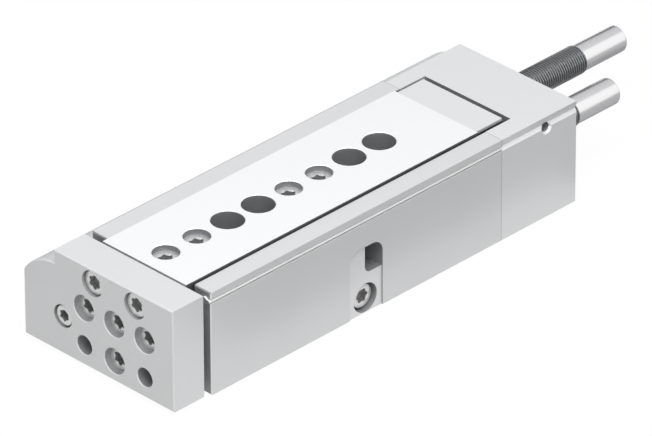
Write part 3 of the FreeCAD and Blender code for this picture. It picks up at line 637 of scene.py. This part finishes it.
marked = add(screw_tree, "GeometryNodeStoreNamedAttribute", {
    "Geometry": grid, "Name": "in_socket", "Value": in_socket}).outputs[0]
shape = wrap(screw_tree, marked, times(radii, lobes), lathe_angle, heights)
close_tree(screw_tree, turn_to(screw_tree, screw_ends["Geometry"], shape, screw_ends["Facing"]),
           screw_ends["Finish"])
screw_zinc = ringed(finish("screw_zinc", turned_rings, (0.78, 0.78, 0.775), 0.5, 0.28, 0.14,
                           0.000006, Ring_Width=0.00022), "from_axis")
zinc_nodes = screw_zinc.node_tree
zinc_shader = zinc_nodes.nodes["Principled BSDF"]
zinc_colour = zinc_shader.inputs["Base Color"].links[0].from_socket
# The socket's faces are mixed to a dark grey as painted shade in the socket.
painted_socket_shade = add(zinc_nodes, "ShaderNodeAttribute", {}, attribute_name="in_socket").outputs["Fac"]
shaded = add(zinc_nodes, "ShaderNodeMix", {"Factor": painted_socket_shade, "A": zinc_colour,
                                           "B": (0.34, 0.34, 0.345, 1)}, data_type="RGBA")
zinc_nodes.links.new(shaded.outputs["Result"], zinc_shader.inputs["Base Color"])
m5 = {"Head Radius": 0.00425, "Head Height": 0.0035, "Thread Radius": 0.0025,
      "Socket Radius": 0.00225, "Finish": screw_zinc}
m4 = {"Head Radius": 0.0035, "Head Height": 0.004, "Thread Radius": 0.002,
      "Socket Radius": 0.00185, "Finish": screw_zinc}
m3 = {"Head Radius": 0.00275, "Head Height": 0.003, "Thread Radius": 0.0015,
      "Socket Radius": 0.00145, "Finish": screw_zinc}


def screws(name, body, facing, *groups):
    """Places screws by groups of one kind and length: the kind, the head centres, the tips."""
    meshes = []
    for kind, places, tip in groups:
        axis = max(range(3), key=lambda i: abs(facing[i]))
        length = abs(places[0][axis] - tip) - kind["Head Height"]
        meshes.append(grow(screw_tree, places, {**kind, "Facing": facing, "Length": length}))
    grown_piece(name + "_turned", meshes, screw_zinc, body, "screw_zinc", 28, name)


def both_ends(name, axis):
    """The two ends of a CAD part along one axis."""
    low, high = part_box(name)
    return low[axis], high[axis]


low_z, top_z = both_ends("table_screws", 2)
rail_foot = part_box("guide_rail")[0][2] + 0.0002
screws("table_screws", "slide", (0.0, 0.0, 1.0),
       (m5, [(hole_pitch * k, 0.0, top_z) for k in (-0.5, 0.5, 3.5)], rail_foot),
       (m5, [(hole_pitch * 4.5, 0.0, top_z)], low_z))
for name, places, kind in (("end_plate_screws", m5_places, m5),
                           ("end_plate_top_screws", top_places, m5),
                           ("rod_screw", [(cylinder_y, cylinder_z)], m4)):
    tip_x, face_x = both_ends(name, 0)
    screws(name, "slide", (1.0, 0.0, 0.0), (kind, [(face_x, y, z) for y, z in places], tip_x))
face_x, tip_x = both_ends("stop_block_screws", 0)
upper_half, upper_z = 0.012, 0.0335
lower_half, lower_z = 0.008, 0.0275
shorter = 0.002
screws("stop_block_screws", "slide", (-1.0, 0.0, 0.0),
       (m4, [(face_x, y, upper_z) for y in (-upper_half, upper_half)], tip_x),
       (m3, [(face_x, y, lower_z) for y in (-lower_half, lower_half)], tip_x - shorter))
tip_y, face_y = both_ends("pocket_screw", 1)
pocket_screw_x, pocket_screw_z = -0.0012, 0.0054
screws("pocket_screw", "base", (0.0, 1.0, 0.0),
       (m5, [(pocket_screw_x, face_y, pocket_screw_z)], tip_y))
housing_left = housing_low[1]
cap_places = [(housing_outer - 0.005, 0.007), (housing_outer - 0.005, 0.018),
              (housing_left + 0.005, 0.0058), (housing_left + 0.009, 0.027)]
face_x, tip_x = both_ends("rear_cap_screws", 0)
screws("rear_cap_screws", "base", (-1.0, 0.0, 0.0),
       (m4, [(face_x, y, z) for y, z in cap_places], tip_x))


# The cylinder lies in the shoulder: a turned piston with seals and a magnet on a chromed rod,
# a bronze bush and a seal at the front, and a plug with a ring at the back.
seal_rubber = finish("seal_rubber", blasted_skin, (0.05, 0.05, 0.052), 0.0, 0.6, 0.3, 0.00001,
                     Grain_Size=0.0003)
chromed_rod = finish("bright_rod", tool_lines, (0.82, 0.82, 0.835), 1.0, 0.10, 0.04, 0.000001,
                     Mark_Size=Vector((0.0002, 0.004, 0.004)))
bronze = finish("bronze", blasted_skin, (0.62, 0.44, 0.22), 0.9, 0.4, 0.25, 0.00001,
                Grain_Size=0.0004)
magnet_metal = finish("magnet", blasted_skin, (0.28, 0.28, 0.30), 0.7, 0.5, 0.3, 0.00001,
                      Grain_Size=0.0005)
paint(inner_aluminium, "piston", "rear_plug", "rod_cover")
paint(seal_rubber, "piston_seals", "rod_seal", "rear_plug_seal")
paint(magnet_metal, "piston_magnet", "sensing_magnet")
paint(bronze, "rod_bush")
paint(guide_steel, "piston_retaining_ring")
finished_copy("piston_rod", "slide", "bright_stud", (chromed_rod,))


# The rear cap closes the housing's back and carries both end stops. It is milled from the same
# aluminium and finished with the housing, with a V groove and a small threaded hole at its side.
cap_top_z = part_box("rear_cap")[1][2]
room_half = 0.0196
room_rear_x = -0.0745
side_hole_x, side_hole_z = -0.0831, 0.0332
side_hole_reach = 0.0018
side_hole_floor_y = 0.018


def inside_cap(centre, normal):
    """Floor and walls of the room for the slide, and the wall of the side hole, which take the dark
    grey as painted shade.
    """
    in_room = abs(centre.y) < room_half and centre.x > room_rear_x and normal.y < 0.9 and \
        channel_floor_z < centre.z < cap_top_z - 4 * skin
    in_side_hole = centre.y > side_hole_floor_y and abs(normal.y) < 0.3 and \
        abs(centre.x - side_hole_x) < side_hole_reach and \
        abs(centre.z - side_hole_z) < side_hole_reach
    return in_room or in_side_hole


# The cap's copy of the anodised finish is the lighter one; the housing's copy is darkened as
# painted shade.
anodised_cap = finish("anodised_cap", blasted_skin, (0.79, 0.795, 0.80), 0.3, 0.42, 0.10, 0.00002,
                      Grain_Size=0.00014)
finished_copy("rear_cap", "base", "anodised_body", (anodised_cap, painted_shade_wall), inside_cap)


# The stop sleeves are steel tubes with a fine M10 thread, blackened, each held in the rear cap
# by a thin hexagon nut. The thread's crests are flat, and its ends are chamfered.
thread_tree, thread_ends = nodes_tree("fine_thread_sleeve", [
    ("Radius", "NodeSocketFloat"), ("Bore", "NodeSocketFloat"), ("Pitch", "NodeSocketFloat"),
    ("Depth", "NodeSocketFloat"), ("Length", "NodeSocketFloat"), ("Rows", "NodeSocketInt"),
    ("Facing", "NodeSocketVector"), ("Finish", "NodeSocketMaterial")])
points_per_turn = 48
flat_share = 0.28
chamfer_share = 0.8
grid, thread_row, thread_angle = lathe_grid(thread_tree, thread_ends["Rows"], points_per_turn)
last_row = minus(thread_ends["Rows"], 2.5)
ramp = minus(thread_row, 5.0)
quarter = calc("FLOORED_MODULO", ramp, 4.0)
in_root = calc("FLOOR", over(quarter, 2.0))
across_flat = times(calc("MODULO", quarter, 2.0), flat_share)
turns = plus(calc("FLOOR", over(ramp, 4.0)), plus(times(in_root, 0.5), across_flat))
turns = plus(turns, over(thread_angle, 2 * math.pi))
along = times(turns, thread_ends["Pitch"])
along = calc("MAXIMUM", calc("MINIMUM", along, thread_ends["Length"]), 0.0)
to_end = calc("MINIMUM", along, minus(thread_ends["Length"], along))
end_radius = minus(thread_ends["Radius"], times(thread_ends["Depth"], chamfer_share))
cut_radius = minus(thread_ends["Radius"], times(in_root, thread_ends["Depth"]))
outside = calc("MINIMUM", cut_radius, plus(end_radius, to_end))


def choose(tree, test, yes, no):
    """Takes one of two numbers at each point of the grid."""
    return add(tree, "GeometryNodeSwitch", {"Switch": test, "False": no, "True": yes},
               input_type="FLOAT").outputs[0]


is_first = calc("LESS_THAN", thread_row, 0.5)
is_back = calc("GREATER_THAN", thread_row, last_row)
is_wall = calc("GREATER_THAN", thread_row, plus(last_row, 1.0))
is_bore = calc("MAXIMUM", is_first, is_back)
radius = choose(thread_tree, is_bore, thread_ends["Bore"], outside)
height = choose(thread_tree, is_back, thread_ends["Length"], along)
height = choose(thread_tree, calc("MAXIMUM", is_first, is_wall), 0.0, height)
shape = wrap(thread_tree, grid, radius, thread_angle, height)
close_tree(thread_tree, turn_to(thread_tree, thread_ends["Geometry"], shape,
                                thread_ends["Facing"]), thread_ends["Finish"])
dark_thread = ringed(finish("dark_thread", turned_rings, (0.36, 0.365, 0.37), 0.95, 0.24, 0.1,
                            0.000002, Ring_Width=0.00035), "from_axis")
thread_pitch = 0.001
thread_depth = 0.0006
sleeve_bore = 0.0038
for name in ("retract_sleeve", "advance_sleeve"):
    low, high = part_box(name)
    length = high[0] - low[0]
    end = [(low[0], (low[1] + high[1]) / 2, (low[2] + high[2]) / 2)]
    rows = 4 * (int(length / thread_pitch) + 3) + 3
    mesh = grow(thread_tree, end, {
        "Radius": (high[2] - low[2]) / 2, "Bore": sleeve_bore, "Pitch": thread_pitch,
        "Depth": thread_depth, "Length": length, "Rows": rows, "Facing": (1.0, 0.0, 0.0),
        "Finish": dark_thread})
    grown_piece(name + "_threaded", [mesh], dark_thread, "base", "dark_thread", 40, name)


nut_steel = finish("nut_steel", blasted_skin, (0.40, 0.40, 0.42), 0.9, 0.34, 0.15, 0.00001,
                   Grain_Size=0.0004)
nut_bore = 0.0051
face_share = 0.97
chamfer_slope = math.tan(math.radians(30))
sixth = math.pi / 3


def lock_nut(name):
    """Hexagon nut with a round bore, whose corners are chamfered at 30 degrees on both faces."""
    low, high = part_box(name)
    centre_y, centre_z = (low[1] + high[1]) / 2, (low[2] + high[2]) / 2
    half_flats = (high[2] - low[2]) / 2
    face_radius = half_flats * face_share
    around = 72
    shape = bmesh.new()
    rings = [[] for ring in range(6)]
    for step in range(around):
        angle = 2 * math.pi * step / around
        from_flat = (angle + sixth / 2) % sixth - sixth / 2
        corner = half_flats / math.cos(from_flat)
        drop = (corner - face_radius) * chamfer_slope
        outline = [(low[0], nut_bore), (low[0], face_radius), (low[0] + drop, corner),
                   (high[0] - drop, corner), (high[0], face_radius), (high[0], nut_bore)]
        for ring, (x, reach) in zip(rings, outline):
            ring.append(shape.verts.new((x, centre_y + reach * math.sin(angle),
                                         centre_z + reach * math.cos(angle))))
    for one, other in zip(rings, rings[1:] + rings[:1]):
        for step in range(around):
            after = (step + 1) % around
            shape.faces.new((one[step], one[after], other[after], other[step]))
    mesh = bpy.data.meshes.new(name)
    shape.to_mesh(mesh)
    shape.free()
    grown_piece(name + "_chamfered", [mesh], nut_steel, "base", "dark_thread", 20, name)


lock_nut("retract_lock_nut")
lock_nut("advance_lock_nut")


# Inside the sleeves sit a small shock absorber, which stops the way back, and a tie rod with a
# collar and a buffer, which stops the way out. Both end in a bright turned stud.
bright_stud = finish("bright_stud", tool_lines, (0.90, 0.90, 0.905), 1.0, 0.26, 0.05, 0.0000012,
                     Mark_Size=Vector((0.00015, 0.004, 0.004)))
stud_radius = 0.00465
stud_length = 0.0194
stud_round = 0.0009
shank_radius = 0.00375


def turned(name, profile, body, slot, material):
    """Turns a profile of (x, radius) points round a node's axis and closes it at both ends."""
    low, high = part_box(name)
    centre_y, centre_z = (low[1] + high[1]) / 2, (low[2] + high[2]) / 2
    around = 96
    shape = bmesh.new()
    rings = []
    for x, radius in profile:
        count = around if radius > 0 else 1
        angles = [2 * math.pi * step / around for step in range(count)]
        rings.append([shape.verts.new((x, centre_y + radius * math.sin(angle),
                                       centre_z + radius * math.cos(angle))) for angle in angles])
    for one, other in zip(rings, rings[1:]):
        for step in range(around):
            after = (step + 1) % around
            corners = [one[step % len(one)], one[after % len(one)],
                       other[after % len(other)], other[step % len(other)]]
            shape.faces.new(dict.fromkeys(corners))
    mesh = bpy.data.meshes.new(name)
    shape.to_mesh(mesh)
    shape.free()
    grown_piece(name + "_turned", [mesh], material, body, slot, 32, name)


def rounded_stud(x):
    """Outline of the bright stud from its rounded outer end to its thinner shank."""
    outline = [(x, 0.0)]
    for step in range(6, -1, -1):
        angle = math.pi / 2 * step / 6
        outline.append((x + stud_round * (1 - math.sin(angle)),
                        stud_radius - stud_round * (1 - math.cos(angle))))
    return outline + [(x + stud_length, stud_radius), (x + stud_length, shank_radius)]


sleeve_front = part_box("retract_sleeve")[1][0]
spring_room_x = -0.0992
spring_room_radius = 0.0028
turned("retract_absorber_body", rounded_stud(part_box("retract_absorber_body")[0][0]) +
       [(sleeve_front, shank_radius), (sleeve_front, spring_room_radius),
        (spring_room_x, spring_room_radius), (spring_room_x, 0.0)],
       "base", "bright_stud", bright_stud)
tie_rod_radius = 0.0025
rod_low, rod_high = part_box("advance_stop_rod")
turned("advance_stop_rod", rounded_stud(rod_low[0]) +
       [(sleeve_front, shank_radius), (sleeve_front, tie_rod_radius),
        (rod_high[0], tie_rod_radius), (rod_high[0], 0.0)], "base", "bright_stud", bright_stud)
spring_steel = finish("spring_steel", blasted_skin, (0.52, 0.52, 0.54), 1.0, 0.3, 0.15, 0.000004,
                      Grain_Size=0.0003)
buffer_rubber = finish("buffer_rubber", blasted_skin, (0.06, 0.06, 0.062), 0.0, 0.55, 0.25,
                       0.00001, Grain_Size=0.0003)
paint(spring_steel, "retract_spring")
paint(chromed_rod, "retract_plunger")
paint(buffer_rubber, "advance_buffer")
paint(spring_steel, "advance_collar")


# The outer bounds of the shown solids, with the studio's sheets left out, are taken.
low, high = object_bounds()
